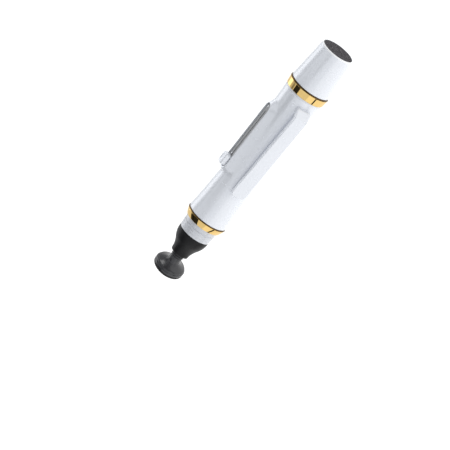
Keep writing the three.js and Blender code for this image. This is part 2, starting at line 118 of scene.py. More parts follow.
def lathe(name, outline, facets=160, closed=True, sharp=SHARP):
    """A body of revolution about the pen's axis; outline is a list of (x, radius) in mm."""
    vertices, rings, faces = [], [], []
    for x, radius in outline:
        if radius < 1e-6:
            rings.append([len(vertices)] * facets)
            vertices.append(at(x, 0, 0))
            continue
        ring = []
        for i in range(facets):
            turn = 2 * math.pi * i / facets
            ring.append(len(vertices))
            vertices.append(at(x, radius * math.cos(turn), radius * math.sin(turn)))
        rings.append(ring)
    pairs = list(zip(rings, rings[1:]))
    if closed:
        pairs.append((rings[-1], rings[0]))
    for a, b in pairs:
        for i in range(facets):
            j = (i + 1) % facets
            corners = list(dict.fromkeys((a[i], a[j], b[j], b[i])))
            if len(corners) > 2:
                faces.append(corners)
    obj = finish_mesh(name, vertices, faces, sharp)
    outward(obj)
    return obj


def outward(obj):
    """Turns every face of obj outwards."""
    bm = bmesh.new()
    bm.from_mesh(obj.data)
    bmesh.ops.recalc_face_normals(bm, faces=bm.faces)
    bm.to_mesh(obj.data)
    bm.free()


def curve_points(knots, steps=8):
    """A smooth curve through the knots, as steps points between each two of them."""
    knots = [np.array(k, float) for k in knots]
    padded = [2 * knots[0] - knots[1], *knots, 2 * knots[-1] - knots[-2]]
    points = []
    for i in range(1, len(padded) - 2):
        p0, p1, p2, p3 = padded[i - 1:i + 3]
        for step in range(steps):
            t = step / steps
            points.append(0.5 * (
                2 * p1 + (p2 - p0) * t + (2 * p0 - 5 * p1 + 4 * p2 - p3) * t ** 2
                + (3 * p1 - p0 - 3 * p2 + p3) * t ** 3
            ))
    points.append(knots[-1])
    return [tuple(p) for p in points]


def stadium(back, front, half, steps=20):
    """Points round a stretch along X with round ends, counter-clockwise."""
    points = []
    for centre, start in ((front, -math.pi / 2), (back, math.pi / 2)):
        for i in range(steps + 1):
            turn = start + math.pi * i / steps
            points.append((centre + half * math.cos(turn), half * math.sin(turn)))
    return points


def stack(name, levels, sharp=SHARP):
    """A closed solid through levels: lists of the same number of (x, y, z) in mm."""
    count = len(levels[0])
    vertices = [at(*p) for level in levels for p in level]
    faces = [list(range(count))[::-1]]
    for k in range(len(levels) - 1):
        for i in range(count):
            j = (i + 1) % count
            a = k * count
            faces.append([a + i, a + j, a + count + j, a + count + i])
    faces.append([(len(levels) - 1) * count + i for i in range(count)])
    obj = finish_mesh(name, vertices, faces, sharp)
    outward(obj)
    return obj


def cut(obj, *cutters):
    """Takes the cutters out of obj and removes them."""
    for cutter in cutters:
        modifier = obj.modifiers.new("cut", "BOOLEAN")
        modifier.operation = "DIFFERENCE"
        modifier.solver = "EXACT"
        modifier.object = cutter
        bpy.context.view_layer.update()
        graph = bpy.context.evaluated_depsgraph_get()
        mesh = bpy.data.meshes.new_from_object(obj.evaluated_get(graph))
        obj.modifiers.clear()
        old = obj.data
        obj.data = mesh
        bpy.data.meshes.remove(old)
        bpy.data.objects.remove(cutter)
    obj.data.shade_smooth()
    obj.data.set_sharp_from_angle(angle=math.radians(SHARP))
    return obj


# ---------------------------------------------------------------- materials


class Look:
    """A material with a Principled shader and short names for its nodes."""

    def __init__(self, name, **values):
        self.material = bpy.data.materials.new(name)
        self.material.use_nodes = True
        self.tree = self.material.node_tree
        self.shader = self.tree.nodes["Principled BSDF"]
        for key, value in values.items():
            self.shader.inputs[key.replace("_", " ")].default_value = value
        self.coordinates = self.node("ShaderNodeTexCoord").outputs["Object"]

    def node(self, kind, **settings):
        made = self.tree.nodes.new(kind)
        for key, value in settings.items():
            setattr(made, key, value)
        return made

    def join(self, output, target):
        self.tree.links.new(output, target)

    def stretched(self, scale):
        """Object coordinates times scale, in units per metre."""
        mapping = self.node("ShaderNodeMapping")
        mapping.inputs["Scale"].default_value = scale
        self.join(self.coordinates, mapping.inputs["Vector"])
        return mapping.outputs["Vector"]

    def noise(self, scale, detail=4.0):
        """Noise with one scale or a scale for each axis, in cycles per metre."""
        texture = self.node("ShaderNodeTexNoise")
        texture.inputs["Scale"].default_value = 1.0
        texture.inputs["Detail"].default_value = detail
        texture.inputs["Roughness"].default_value = 0.55
        scale = (scale,) * 3 if isinstance(scale, (int, float)) else scale
        self.join(self.stretched(scale), texture.inputs["Vector"])
        return texture.outputs["Fac"]

    def spread(self, value, low, high, from_low=0.3, from_high=0.7):
        """Maps value, which goes from from_low to from_high, to the range low to high."""
        ranged = self.node("ShaderNodeMapRange")
        for key, number in (
            ("From Min", from_low), ("From Max", from_high), ("To Min", low), ("To Max", high),
        ):
            ranged.inputs[key].default_value = number
        self.join(value, ranged.inputs["Value"])
        return ranged.outputs["Result"]

    def blend(self, value, first, second):
        """The colour first where value is 0 and second where it is 1."""
        mixed = self.node("ShaderNodeMix", data_type="RGBA")
        self.join(value, mixed.inputs["Factor"])
        for key, colour in ((6, first), (7, second)):
            if isinstance(colour, tuple):
                mixed.inputs[key].default_value = (*colour, 1.0)
            else:
                self.join(colour, mixed.inputs[key])
        return mixed.outputs[2]

    def bump(self, heights, distance):
        """Bump from a list of (value, strength), fine ones last."""
        normal = None
        for value, strength in heights:
            bump = self.node("ShaderNodeBump")
            bump.inputs["Strength"].default_value = strength
            bump.inputs["Distance"].default_value = distance
            self.join(value, bump.inputs["Height"])
            if normal is not None:
                self.join(normal, bump.inputs["Normal"])
            normal = bump.outputs["Normal"]
        self.join(normal, self.shader.inputs["Normal"])

    def base(self, colour):
        self.join(colour, self.shader.inputs["Base Color"])

    def roughness(self, value):
        self.join(value, self.shader.inputs["Roughness"])


def white_plastic(name="pearl_white", tone=1.0, **values):
    """Pearl white, its colours times tone: fine bright flakes in the body, under a clear gloss."""
    look = Look(name, **{"Coat_Weight": 0.25, "Coat_Roughness": 0.06, "Metallic": 0.2, **values})
    clouds = look.spread(look.noise((45, 130, 130), 3), 0, 1)
    low, high, flake = (
        tuple(c * tone for c in colour)
        for colour in ((0.765, 0.790, 0.840), (0.795, 0.817, 0.863), (0.800, 0.822, 0.868))
    )
    colour = look.blend(clouds, low, high)
    flakes = look.spread(look.noise(5200, 2), 0, 1)
    look.base(look.blend(flakes, colour, flake))
    look.roughness(look.spread(look.noise(500, 4), 0.22, 0.28))
    look.bump([(look.noise((60, 240, 240), 2), 0.02)], 0.0001)
    return look.material


def rim_painted_highlight():
    """A lighter white for the edge of the brush mouth, under a clearer gloss: a painted highlight.
    """
    look = Look("rim_painted_highlight", Coat_Weight=0.5, Coat_Roughness=0.05)
    clouds = look.spread(look.noise(900, 3), 0, 1)
    look.base(look.blend(clouds, (0.93, 0.94, 0.95), (0.96, 0.965, 0.975)))
    look.roughness(look.spread(look.noise(1200, 3), 0.12, 0.2))
    look.bump([(look.noise(1500, 2), 0.02)], 0.00005)
    return look.material


def gold_metal():
    """Gold plate, a little tarnished and brushed round the ring."""
    look = Look("gold_plate", Metallic=1.0)
    tarnish = look.spread(look.noise(240, 5), 0, 1, 0.35, 0.75)
    look.base(look.blend(tarnish, (0.80, 0.57, 0.225), (0.75, 0.505, 0.178)))
    brushed = look.noise((5200, 260, 260), 5)
    look.roughness(look.spread(brushed, 0.03, 0.07))
    look.bump([(brushed, 0.01)], 0.00002)
    return look.material


def chamfer_painted_reflection():
    """Gold darkened for the rings' chamfer: a painted dark reflection."""
    look = Look("chamfer_painted_reflection", Metallic=1.0)
    mottle = look.spread(look.noise(900, 4), 0, 1)
    look.base(look.blend(mottle, (0.085, 0.050, 0.018), (0.13, 0.08, 0.03)))
    look.roughness(look.spread(look.noise(1500, 3), 0.25, 0.4))
    look.bump([(look.noise(2600, 3), 0.1)], 0.00003)
    return look.material


def moulded(name, dark, light, low, high, grain=2600, strength=0.12, **values):
    """Moulded plastic or rubber: mottled colour, uneven gloss and a fine grain."""
    look = Look(name, **values)
    mottle = look.spread(look.noise(300, 4), 0, 1)
    look.base(look.blend(mottle, dark, light))
    look.roughness(look.spread(look.noise(700, 4), low, high))
    look.bump([(look.noise(500, 3), strength * 0.5), (look.noise(grain, 3), strength)], 0.0001)
    return look.material


def bristle_hair(name="bristle_hair", tone=1.0):
    """Dark grey hair with streaks along the pen, its colours times tone."""
    look = Look(name, Specular_IOR_Level=0.35)
    strand = look.noise((180, 4200, 4200), 2)
    dark, light = (
        tuple(c * tone for c in colour)
        for colour in ((0.140, 0.130, 0.140), (0.360, 0.345, 0.358))
    )
    look.base(look.blend(look.spread(strand, 0, 1), dark, light))
    look.roughness(look.spread(look.noise(1500, 2), 0.45, 0.7))
    look.bump([(strand, 0.25)], 0.0001)
    return look.material


def suede():
    look = Look("suede", Sheen_Weight=0.35, Sheen_Roughness=0.45, Specular_IOR_Level=0.2)
    nap = look.noise(3600, 4)
    patches = look.noise(420, 4)
    worn = look.spread(patches, 0, 1)
    look.base(look.blend(worn, (0.018, 0.017, 0.017), (0.045, 0.042, 0.041)))
    look.roughness(look.spread(nap, 0.85, 1.0))
    look.bump([(patches, 0.2), (nap, 0.6)], 0.00015)
    return look.material


def foam():
    look = Look("foam", Specular_IOR_Level=0.2)
    cells = look.node("ShaderNodeTexVoronoi")
    cells.inputs["Scale"].default_value = 1.0
    look.join(look.stretched((4200, 4200, 4200)), cells.inputs["Vector"])
    distance = cells.outputs["Distance"]
    # Colour darkens towards each cell's middle, where the bump makes a pit: painted shade in the
    # hollows.
    depth = look.spread(distance, 0, 1, 0, 0.6)
    look.base(look.blend(depth, (0.012, 0.012, 0.012), (0.05, 0.05, 0.05)))
    look.roughness(look.spread(distance, 0.8, 1.0))
    look.bump([(distance, 0.8)], 0.0002)
    return look.material


def bare_metal(name, colour):
    """Drawn metal with fine streaks along the pen."""
    look = Look(name, Metallic=1.0)
    drawn = look.noise((260, 3600, 3600), 4)
    dark = tuple(c * 0.82 for c in colour)
    look.base(look.blend(look.spread(look.noise(300, 4), 0, 1), dark, colour))
    look.roughness(look.spread(drawn, 0.22, 0.4))
    look.bump([(drawn, 0.08)], 0.00005)
    return look.material


WHITE = white_plastic()
RIM_PAINTED_HIGHLIGHT = rim_painted_highlight()
# A darker copy of the pearl white for the collar: painted shade.
COLLAR_PAINTED_SHADE = white_plastic("collar_white_painted_shade", 0.78, Metallic=0.1)
GOLD = gold_metal()
CHAMFER_PAINTED_REFLECTION = chamfer_painted_reflection()
BLACK = moulded("black_satin", (0.004, 0.004, 0.0045), (0.008, 0.008, 0.009), 0.36, 0.48,
                Specular_IOR_Level=0.22)
RUBBER = moulded("neck_rubber", (0.028, 0.028, 0.031), (0.042, 0.042, 0.046), 0.14, 0.24,
                 grain=1800, strength=0.08)
GREY = moulded("track_grey", (0.262, 0.266, 0.272), (0.292, 0.296, 0.302), 0.42, 0.6, strength=0.2)
INNER = moulded("inner_grey", (0.20, 0.20, 0.21), (0.25, 0.25, 0.26), 0.4, 0.55)
HAIR = bristle_hair()
EDGE_HAIR_PAINTED_SHADE = bristle_hair("edge_hair_painted_shade", 0.35)
SUEDE = suede()
FOAM = foam()
STEEL = bare_metal("spring_steel", (0.60, 0.61, 0.62))
TIN = bare_metal("ferrule_metal", (0.70, 0.70, 0.72))


def dress(obj, material, body, slot, *replaced):
    """Gives a finished piece its material and body and hides the CAD nodes it stands for; slot is
    not used.
    """
    obj.data.materials.clear()
    obj.data.materials.append(material)
    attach(obj, body)
    if replaced:
        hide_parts(*replaced)
    return obj


# ---------------------------------------------------------------- dimensions, in mm

CONE_BACK = -16.75
BARREL_FRONT = -20.1
BARREL_BACK = -79.95
COLLAR_FRONT = -82.8
SEAM = 0.05  # gap between a trim ring and its neighbours
FUNNEL_FRONT = -88.1
FUNNEL_MOUTH = -97.7
BARREL_FRONT_RADIUS, BARREL_BACK_RADIUS = 7.85, 8.0
WAIST, WAIST_RADIUS, FLARE = -50, 7.15, 2.2
BORE = 6.3
COUNTERBORE, COUNTERBORE_DEPTH = 6.95, 2.9
RING_GROOVE = {"behind": 0.62, "depth": 0.2, "width": 0.16}  # shallow, behind the upper ring
SPIGOT_BACK, SPIGOT_RADIUS = -22.9, 6.85
WINDOW = {"back": -26.4, "front": -24.2, "half": 1.9}  # for the tongue of the clip's anchor
CONE_BORE = 6.25
RIM_START = -0.5  # the cone's edge, coloured lighter as a painted highlight, runs from here to the mouth
LAND = {"height": 8.6, "half": 2.4, "front": -32.3, "back": -58.3, "flank": math.radians(52.7)}
LAND_FRONT_SLOPE = 0.42
TRACK = {"half": 2.2, "front": -32.5, "back": -57.6, "floor": 7.3, "top": 8.05}
PIPS = ((-31.8, 0.9), (-54.1, 0.9))  # the two dimples; the white in them is a painted highlight
KNOB_X, KNOB_HALF_LENGTH, KNOB_HALF_WIDTH, TRAVEL = -56.95, 2.4, 1.95, 22
SLOT_HALF = 0.27
SLOT_BACK, SLOT_FRONT = KNOB_X - 1.2, KNOB_X + TRAVEL + 1.2
COLLAR_GROOVES = ((-84.75, 0.32, 0.24), (-85.9, 0.1, 0.14), (-87.0, 0.1, 0.14))
HEAD_PIVOT = -101.1
NECK_GROOVES = (-98.45, -99.3)
LEAN_AXIS = Vector((0, -0.454, -0.891)).normalized()
LEAN = math.radians(16)


# ---------------------------------------------------------------- barrel


def barrel_radius(x):
    """Radius of the waisted barrel at station x, without its land."""
    if x > WAIST:
        end, radius = BARREL_FRONT, BARREL_FRONT_RADIUS
    else:
        end, radius = BARREL_BACK, BARREL_BACK_RADIUS
    return WAIST_RADIUS + (radius - WAIST_RADIUS) * abs((x - WAIST) / (end - WAIST)) ** FLARE


def land_radius(x, turns):
    """Radius of the raised land at station x, for each turn from the knob's side."""
    rounding = 0.18
    beyond = max(x - LAND["front"], LAND["back"] - x, 0)
    end_slope = LAND_FRONT_SLOPE if x > LAND["front"] else math.tan(LAND["flank"])
    low, high = np.full(turns.shape, 3.0), np.full(turns.shape, 12.0)
    for _ in range(30):
        middle = (low + high) / 2
        away = np.hypot(middle * np.sin(turns), beyond)
        lengthwise = (beyond / np.maximum(away, 1e-6)) ** 2
        slope = math.tan(LAND["flank"]) * (1 - lengthwise) + end_slope * lengthwise
        drop = slope * (away - LAND["half"])
        soft = 0.5 * (drop + np.sqrt(drop ** 2 + (rounding * slope) ** 2))
        inside = middle * np.cos(turns) < LAND["height"] - soft
        low, high = np.where(inside, middle, low), np.where(inside, high, middle)
    return (low + high) / 2


def slot_cutter():
    """Cuts the slot in which the knob's blade runs."""
    return stack("slot", [
        [(x, y, z) for x, y in stadium(SLOT_BACK, SLOT_FRONT, SLOT_HALF, 8)] for z in (4.3, 9)
    ])


def barrel_shell():
    """The barrel with its land, the pocket and slot of the track, and the clip's window."""
    fillet = 0.16
    fine = np.radians(np.arange(-42, 42.01, 0.75))
    coarse = np.radians(np.arange(45, 315.1, 3))
    turns = np.concatenate([fine, coarse])
    near = np.abs(((turns + np.pi) % (2 * np.pi)) - np.pi) < math.radians(60)
    stations = np.unique(np.round(np.concatenate([
        np.linspace(BARREL_BACK + 0.2, BARREL_FRONT - 0.2, 90),
        np.arange(-63.5, -55, 0.2), np.arange(-35, -27, 0.2),
        np.arange(BARREL_FRONT - 1, BARREL_FRONT - 0.2, 0.06),
    ]), 3))
    rows = []
    for x in stations:
        plain = np.full(turns.shape, barrel_radius(x))
        land = np.where(near, land_radius(x, turns), 0)
        gap = land - plain
        soft = plain + 0.5 * (gap + np.sqrt(gap ** 2 + fillet ** 2)) - fillet * 0.02
        from_groove = (x - BARREL_FRONT + RING_GROOVE["behind"]) / RING_GROOVE["width"]
        groove = RING_GROOVE["depth"] * math.exp(-from_groove ** 2)
        rows.append((x, np.where(gap > -3 * fillet, soft, plain) - groove))
    ends = []
    for x, inner in ((BARREL_BACK, rows[0][1]), (BARREL_FRONT, rows[-1][1])):
        ends.append((x, inner - 0.18))
    outline = [ends[0], *rows, ends[1]]
    bore = np.full(turns.shape, BORE)
    wide = np.full(turns.shape, COUNTERBORE)
    step = BARREL_FRONT - COUNTERBORE_DEPTH
    outline += [(BARREL_FRONT, wide), (step, wide), (step, bore), (BARREL_BACK, bore)]
    count = len(turns)
    vertices = [
        at(x, radius * math.sin(turn), radius * math.cos(turn))
        for x, radii in outline for turn, radius in zip(turns, radii)
    ]
    faces = []
    for k in range(len(outline)):
        a, b = k * count, ((k + 1) % len(outline)) * count
        for i in range(count):
            j = (i + 1) % count
            faces.append([a + i, a + j, b + j, b + i])
    shell = finish_mesh("barrel_shell", vertices, faces)
    outward(shell)
    half = TRACK["half"] + 0.1
    levels = []  # the pocket's upper edge is chamfered
    for grow, z in ((0, TRACK["floor"] - 0.05), (0, 8.47), (0.14, 8.61), (0.14, 9.6)):
        levels.append([(x, y, z) for x, y in stadium(TRACK["back"], TRACK["front"], half + grow)])
    pocket = stack("pocket", levels)
    slot = slot_cutter()
    back, front, high = WINDOW["back"], WINDOW["front"], WINDOW["half"]
    window = stack("window", [
        [(back, y, -high), (front, y, -high), (front, y, high), (back, y, high)] for y in (-9, -5.3)
    ])
    return cut(shell, pocket, slot, window)


dress(barrel_shell(), WHITE, "pen_body", "white_shell", "barrel")

# ---------------------------------------------------------------- brush cone and rings

cone = rounded(
    [(SPIGOT_BACK, CONE_BORE), (SPIGOT_BACK, SPIGOT_RADIUS), (CONE_BACK, SPIGOT_RADIUS),
     (CONE_BACK, 8.0), (RIM_START, 6.74), (0, 6.7), (0, CONE_BORE)],
    [0, 0, 0, 0.3, 0, 0.4, 0.03],
)
cone = dress(lathe("front_cone", cone), WHITE, "pen_body", "white_shell", "brush_cone")
cone.data.materials.append(RIM_PAINTED_HIGHLIGHT)
# Faces at the mouth's edge get the lighter rim colour: a painted highlight.
for face in cone.data.polygons:
    if (face.center.x - MOUTH.x) / MM > RIM_START and face.normal.x > -0.1:
        face.material_index = 1


def trim_ring(name, back, front, bore, small, large, bulge, chamfer, drop):
    """A gold ring that flares from radius small to large; its chamfer on the brush side is darkened
    gold, a painted reflection.

    Its flank bulges by bulge; the chamfer is that long and goes down by drop.
    """
    span = (front - chamfer) - back
    flank = []
    for i in range(25):
        t = i / 24
        radius = small + (large - small) * t + 4 * bulge * t * (1 - t)
        flank.append((back + span * t, radius))
    outline = [(back, bore), *flank, (front, large - drop), (front, bore)]
    radii = [0, 0.08, *[0] * (len(flank) - 2), 0.06, 0.06, 0]
    ring = lathe(name, rounded(outline, radii), 224)
    ring.data.materials.append(GOLD)
    ring.data.materials.append(CHAMFER_PAINTED_REFLECTION)
    # The chamfer's faces take the darkened gold: a painted reflection.
    for face in ring.data.polygons:
        if (face.center.x - MOUTH.x) / MM > front - chamfer + 0.02:
            face.material_index = 1
    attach(ring, "pen_body")
    return ring


ring = trim_ring(
    "gold_ring_front", BARREL_FRONT + SEAM, CONE_BACK - SEAM, bore=6.95,
    small=8.05, large=8.3, bulge=0.01, chamfer=0.5, drop=0.35,
)
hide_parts("upper_trim_ring")
ring = trim_ring(
    "gold_ring_rear", COLLAR_FRONT + SEAM, BARREL_BACK - SEAM, bore=6.3,
    small=7.35, large=8.17, bulge=0.06, chamfer=0.4, drop=0.25,
)
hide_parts("lower_trim_ring")

# ---------------------------------------------------------------- track and knob


def track_insert():
    """The grey strip with its slot and the two dimples near its ends."""
    levels = []
    for inset, z in ((0, TRACK["floor"]), (0, TRACK["top"] - 0.06), (0.06, TRACK["top"])):
        points = stadium(TRACK["back"], TRACK["front"], TRACK["half"] - inset)
        levels.append([(x, y, z) for x, y in points])
    insert = stack("track_insert", levels)
    slot = slot_cutter()
    turns = np.linspace(0, 6.283, 16, False)
    pips = []
    for x, y in PIPS:
        top = TRACK["top"]
        rings = [(top - 0.2, 0.2), (top - 0.12, 0.34), (top + 0.2, 0.42)]
        pips.append(stack("pip", [
            [(x + r * math.cos(a), y + r * math.sin(a), z) for a in turns] for z, r in rings
        ]))
    return cut(insert, slot, *pips)


dress(track_insert(), GREY, "pen_body", "track_grey", "slider_track")


def painted_dot_highlights():
    """White discs in the two dimples, just below the track's face: a painted highlight."""
    fills = bmesh.new()
    for x, y in PIPS:
        middle = Matrix.Translation(at(x, y, TRACK["top"] - 0.06))
        bmesh.ops.create_cone(
            fills, cap_ends=True, segments=20, radius1=0.30 * MM, radius2=0.34 * MM,
            depth=0.1 * MM, matrix=middle,
        )
    mesh = bpy.data.meshes.new("dimple_painted_highlights")
    fills.to_mesh(mesh)
    fills.free()
    highlight_discs = bpy.data.objects.new("dimple_painted_highlights", mesh)
    bpy.context.scene.collection.objects.link(highlight_discs)
    return highlight_discs


# White discs in the dimples: a painted highlight.
dress(painted_dot_highlights(), WHITE, "pen_body", "white_shell")


def rounded_plan(half_length, half_width, corner):
    """Points round a rectangle with rounded corners."""
    steps = 6
    points = []
    for quarter, (sx, sy) in enumerate(((1, 1), (-1, 1), (-1, -1), (1, -1))):
        for i in range(steps + 1):
            turn = (quarter + i / steps) * math.pi / 2
            points.append((
                sx * (half_length - corner) + corner * math.cos(turn),
                sy * (half_width - corner) + corner * math.sin(turn),
            ))
    return points


def knob_button():
    """A rounded button, highest at its two ends, with a thumb hollow across the middle."""
    levels = []
    for inset, z in (
        (0.06, 8.15), (0, 8.24), (0, 9.7), (0.03, 9.95), (0.12, 10.18), (0.28, 10.36), (0.5, 10.46),
        (0.72, 10.46), (0.95, 10.38), (1.2, 10.28), (1.5, 10.22), (1.8, 10.2),
    ):
        corner = max(1.2 - inset * 0.6, 0.1)
        half_length, half_width = KNOB_HALF_LENGTH - inset, KNOB_HALF_WIDTH - inset
        plan = rounded_plan(half_length, half_width, min(corner, half_width - 0.02))
        crown = 0.22 if z > 10 else 0
        levels.append([
            (KNOB_X + x, y, z + crown * (x / KNOB_HALF_LENGTH) ** 2) for x, y in plan
        ])
    return stack("knob_button", levels)


dress(knob_button(), WHITE, "brush_slider", "white_shell", "thumb_knob")

# ---------------------------------------------------------------- clip

# Along the clip: outer height, inner height and half width, each at its own stations
CLIP_TIP = -65.1
CLIP_OUTER = [
    (CLIP_TIP, 8.9), (-27.6, 11.5), (-27.25, 11.53), (-27.0, 11.59), (-26.6, 11.6),
    (-26.25, 11.48), (-25.8, 11.12), (-24.9, 10.36), (-23.9, 9.6), (-23.55, 9.34), (-23.4, 9.1),
]
CLIP_INNER = [
    (CLIP_TIP, 7.5), (-27.7, 9.66), (-27.2, 9.58), (-26.7, 9.25), (-26.3, 8.75), (-26.0, 8.1),
    (-25.8, 7.3), (-25.65, 6.7), (-23.4, 6.7),
]
CLIP_HALF = [(CLIP_TIP, 2.9), (-27.3, 2.6), (-25.5, 2.62), (-23.6, 2.75), (-23.4, 2.7)]
CLIP_CORNER = 1.8  # rounding of the tip's corners, seen from outside
CLIP_NOSE = 0.5  # rounding of the tip's outer edge


def along(knots, x):
    """The value at station x of a list of (station, value)."""
    xs, values = zip(*knots)
    return float(np.interp(x, xs, values))


def clip_section(x, half, inner, outer, edge):
    """A section across the clip: a bar with rounded edges."""
    plan = [(-inner, -half), (-inner, half), (-outer, half), (-outer, -half)]
    return [(x, y, z) for y, z in rounded(plan, [0.12, 0.12, edge, edge], 5)]


def pocket_clip():
    """The clip in one piece: the arm, its elbow and the ramp that runs down to the barrel."""
    corner = [CLIP_CORNER * q for q in (0, 0.01, 0.03, 0.07, 0.14, 0.25, 0.4, 0.6, 0.8, 1.0)]
    bend = [x for x, _ in CLIP_OUTER[1:] + CLIP_INNER[1:]]
    stations = [CLIP_TIP + s for s in corner] + list(np.linspace(-62.5, -28, 40)) + bend
    levels = []
    for x in sorted(set(np.round(stations, 3))):
        half, outer, inner = along(CLIP_HALF, x), along(CLIP_OUTER, x), along(CLIP_INNER, x)
        s = x - CLIP_TIP
        if s < CLIP_CORNER:
            half -= CLIP_CORNER - math.sqrt(CLIP_CORNER ** 2 - (CLIP_CORNER - s) ** 2)
        if s < CLIP_NOSE:
            outer -= CLIP_NOSE - math.sqrt(CLIP_NOSE ** 2 - (CLIP_NOSE - s) ** 2)
        levels.append(clip_section(x, half, inner, outer, min(0.3, (outer - inner) * 0.4)))
    return stack("pocket_clip", levels, 40)


clip = pocket_clip()
clip.data.materials.append(WHITE)
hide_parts("clip_arm", "clip_anchor")
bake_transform(clip)

# ---------------------------------------------------------------- collar and funnel


def collar_outline():
    """The ribbed seat of the cap, with the web that closes the barrel inside it."""
    outside = []
    for i in range(241):
        x = FUNNEL_FRONT + (COLLAR_FRONT - FUNNEL_FRONT) * i / 240
        radius = 6.3 + 0.45 * (x - FUNNEL_FRONT) / (COLLAR_FRONT - FUNNEL_FRONT)
        for groove, depth, width in COLLAR_GROOVES:
            radius -= depth * math.exp(-((x - groove) / width) ** 2)
        outside.append((x, radius))
    outside[0] = (outside[0][0], outside[0][1] - 0.08)
    inside = [(COLLAR_FRONT, 6.2), (-75.5, 6.2), (-75.5, 4.8), (-82.5, 4.8), (-82.5, 0)]
    return [(-84.1, 0), (-84.1, 5.1), (FUNNEL_FRONT, 5.1), *outside, *inside]


dress(lathe("ribbed_collar", collar_outline(), closed=False), COLLAR_PAINTED_SHADE, "pen_body",
      "white_shell", "neck_collar")

bell = curve_points([
    (FUNNEL_MOUTH, 3.5), (-95.8, 3.8), (-93.87, 4.55), (-91.94, 5.6), (-90.0, 6.2), (-88.15, 6.3),
])
funnel = rounded(
    [(FUNNEL_MOUTH, 2.95), *bell, (-88.15, 5.0), (-84.35, 5.0), (-84.35, 4.0), (-91.6, 4.0),
     (-94.5, 2.95)],
    [0.12, 0.18, *[0] * (len(bell) - 2), 0.1, 0, 0, 0, 0, 0],
)
dress(lathe("funnel_skirt", funnel), BLACK, "pen_body", "black_skirt", "tip_funnel")

# ---------------------------------------------------------------- neck and head


def leaning(point, share=1.0):
    """Where a point of the straight pen goes when the head leans, in the row frame."""
    pivot = at(HEAD_PIVOT, 0, 0)
    return pivot + Matrix.Rotation(LEAN * share, 3, LEAN_AXIS) @ (point - pivot)


def lean(obj, start=None, end=None):
    """Leans a finished straight piece; from start to end, in mm, the lean grows smoothly."""
    for vertex in obj.data.vertices:
        share = 1.0
        if start is not None:
            x = (vertex.co.x - MOUTH.x) / MM
            t = min(max((x - start) / (end - start), 0), 1)
            share = t * t * (3 - 2 * t)
        vertex.co = leaning(vertex.co, share)
    obj.data.update()
    return obj


def neck_outline():
    """The neck from the head, where it spreads into a cone, to the funnel."""
    spread, bare = 1.75, 2.35
    points = []
    for i in range(33):
        t = i / 32
        x = HEAD_PIVOT - spread + spread * t
        radius = bare + 2.8 * (1 - t) ** 1.55
        points.append((x, radius))
    for i in range(1, 97):
        x = HEAD_PIVOT + (-96.6 - HEAD_PIVOT) * i / 96
        radius = bare
        for groove in NECK_GROOVES:
            radius -= 0.2 * math.exp(-((x - groove) / 0.14) ** 2)
        radius += 0.12 * math.exp(-((x + 98.9) / 0.3) ** 2)  # a slight swelling between them
        points.append((x, radius))
    return [(HEAD_PIVOT - spread, 0), *points, (-95.6, 1.6), (-95.2, 0)]


neck = lathe("rubber_neck", neck_outline(), 96, closed=False)
lean(neck, HEAD_PIVOT + 1.3, HEAD_PIVOT - 0.6)
neck.data.materials.append(RUBBER)
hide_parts("flex_stem")
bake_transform(neck)

head = rounded(
    [
        (HEAD_PIVOT - 2.6, 0), (HEAD_PIVOT - 2.6, 5.05), (HEAD_PIVOT - 3.45, 5.05),
        (HEAD_PIVOT - 3.45, 6.0), (HEAD_PIVOT - 2.62, 6.0), (HEAD_PIVOT - 2.3, 5.62),
        (HEAD_PIVOT - 1.98, 5.62), (HEAD_PIVOT - 1.72, 5.2), (HEAD_PIVOT - 1.68, 4.7),
        (HEAD_PIVOT - 1.5, 3.6), (HEAD_PIVOT - 1.5, 0),
    ],
    [0, 0, 0.1, 0.28, 0.15, 0.1, 0.12, 0.1, 0.1, 0, 0], closed=False,
)
cup = lean(lathe("head_shell", head, closed=False))
dress(cup, RUBBER, "head", "neck_rubber", "head_cup")


def suede_pad():
    """The pad: a flat face with a rolled edge."""
    back, face, radius = HEAD_PIVOT - 3.5, HEAD_PIVOT - 4.3, 6.0
    outline = [(back, 0), (back, radius - 0.25), (back - 0.12, radius - 0.04), (face + 0.3, radius),
               (face + 0.12, radius - 0.06), (face + 0.02, radius - 0.25), (face, radius - 0.6)]
    outline += [(face, r) for r in (4.5, 3.6, 2.7, 1.8, 0.9)]
    outline.append((face, 0))
    pad = lathe("suede_pad", outline, 144, closed=False, sharp=60)
    return lean(pad)


dress(suede_pad(), SUEDE, "head", "suede", "cleaning_pad")

# ---------------------------------------------------------------- brush

TUFT = [
    (-29.0, 4.75), (-24.2, 4.8), (-20.0, 5.02), (-15.0, 5.3), (-9.0, 5.58), (-4.0, 5.85),
    (-0.5, 6.05),
]
BRUSH_RADIUS, BRUSH_LIMIT = 6.14, 6.18  # of the hair tips: usual and greatest
BRUSH_END = -0.004
EDGE_RADIUS, EDGE_DEPTH = 5.88, -0.35  # hair tips beyond both are darkened: painted shade of the gap round the tuft


def tuft_radius(x):
    return along(TUFT, x)


core = [(-33.0, 0), (-33.0, 4.7), *[(x, tuft_radius(x) - 0.16) for x in np.linspace(-28, -1.9, 20)],
        (-1.3, 5.5), (-1.0, 4.6), (-0.95, 0)]
dress(lathe("bristle_core", core, 96, closed=False), HAIR, "brush_slider", "bristle",
      "bristle_tuft")


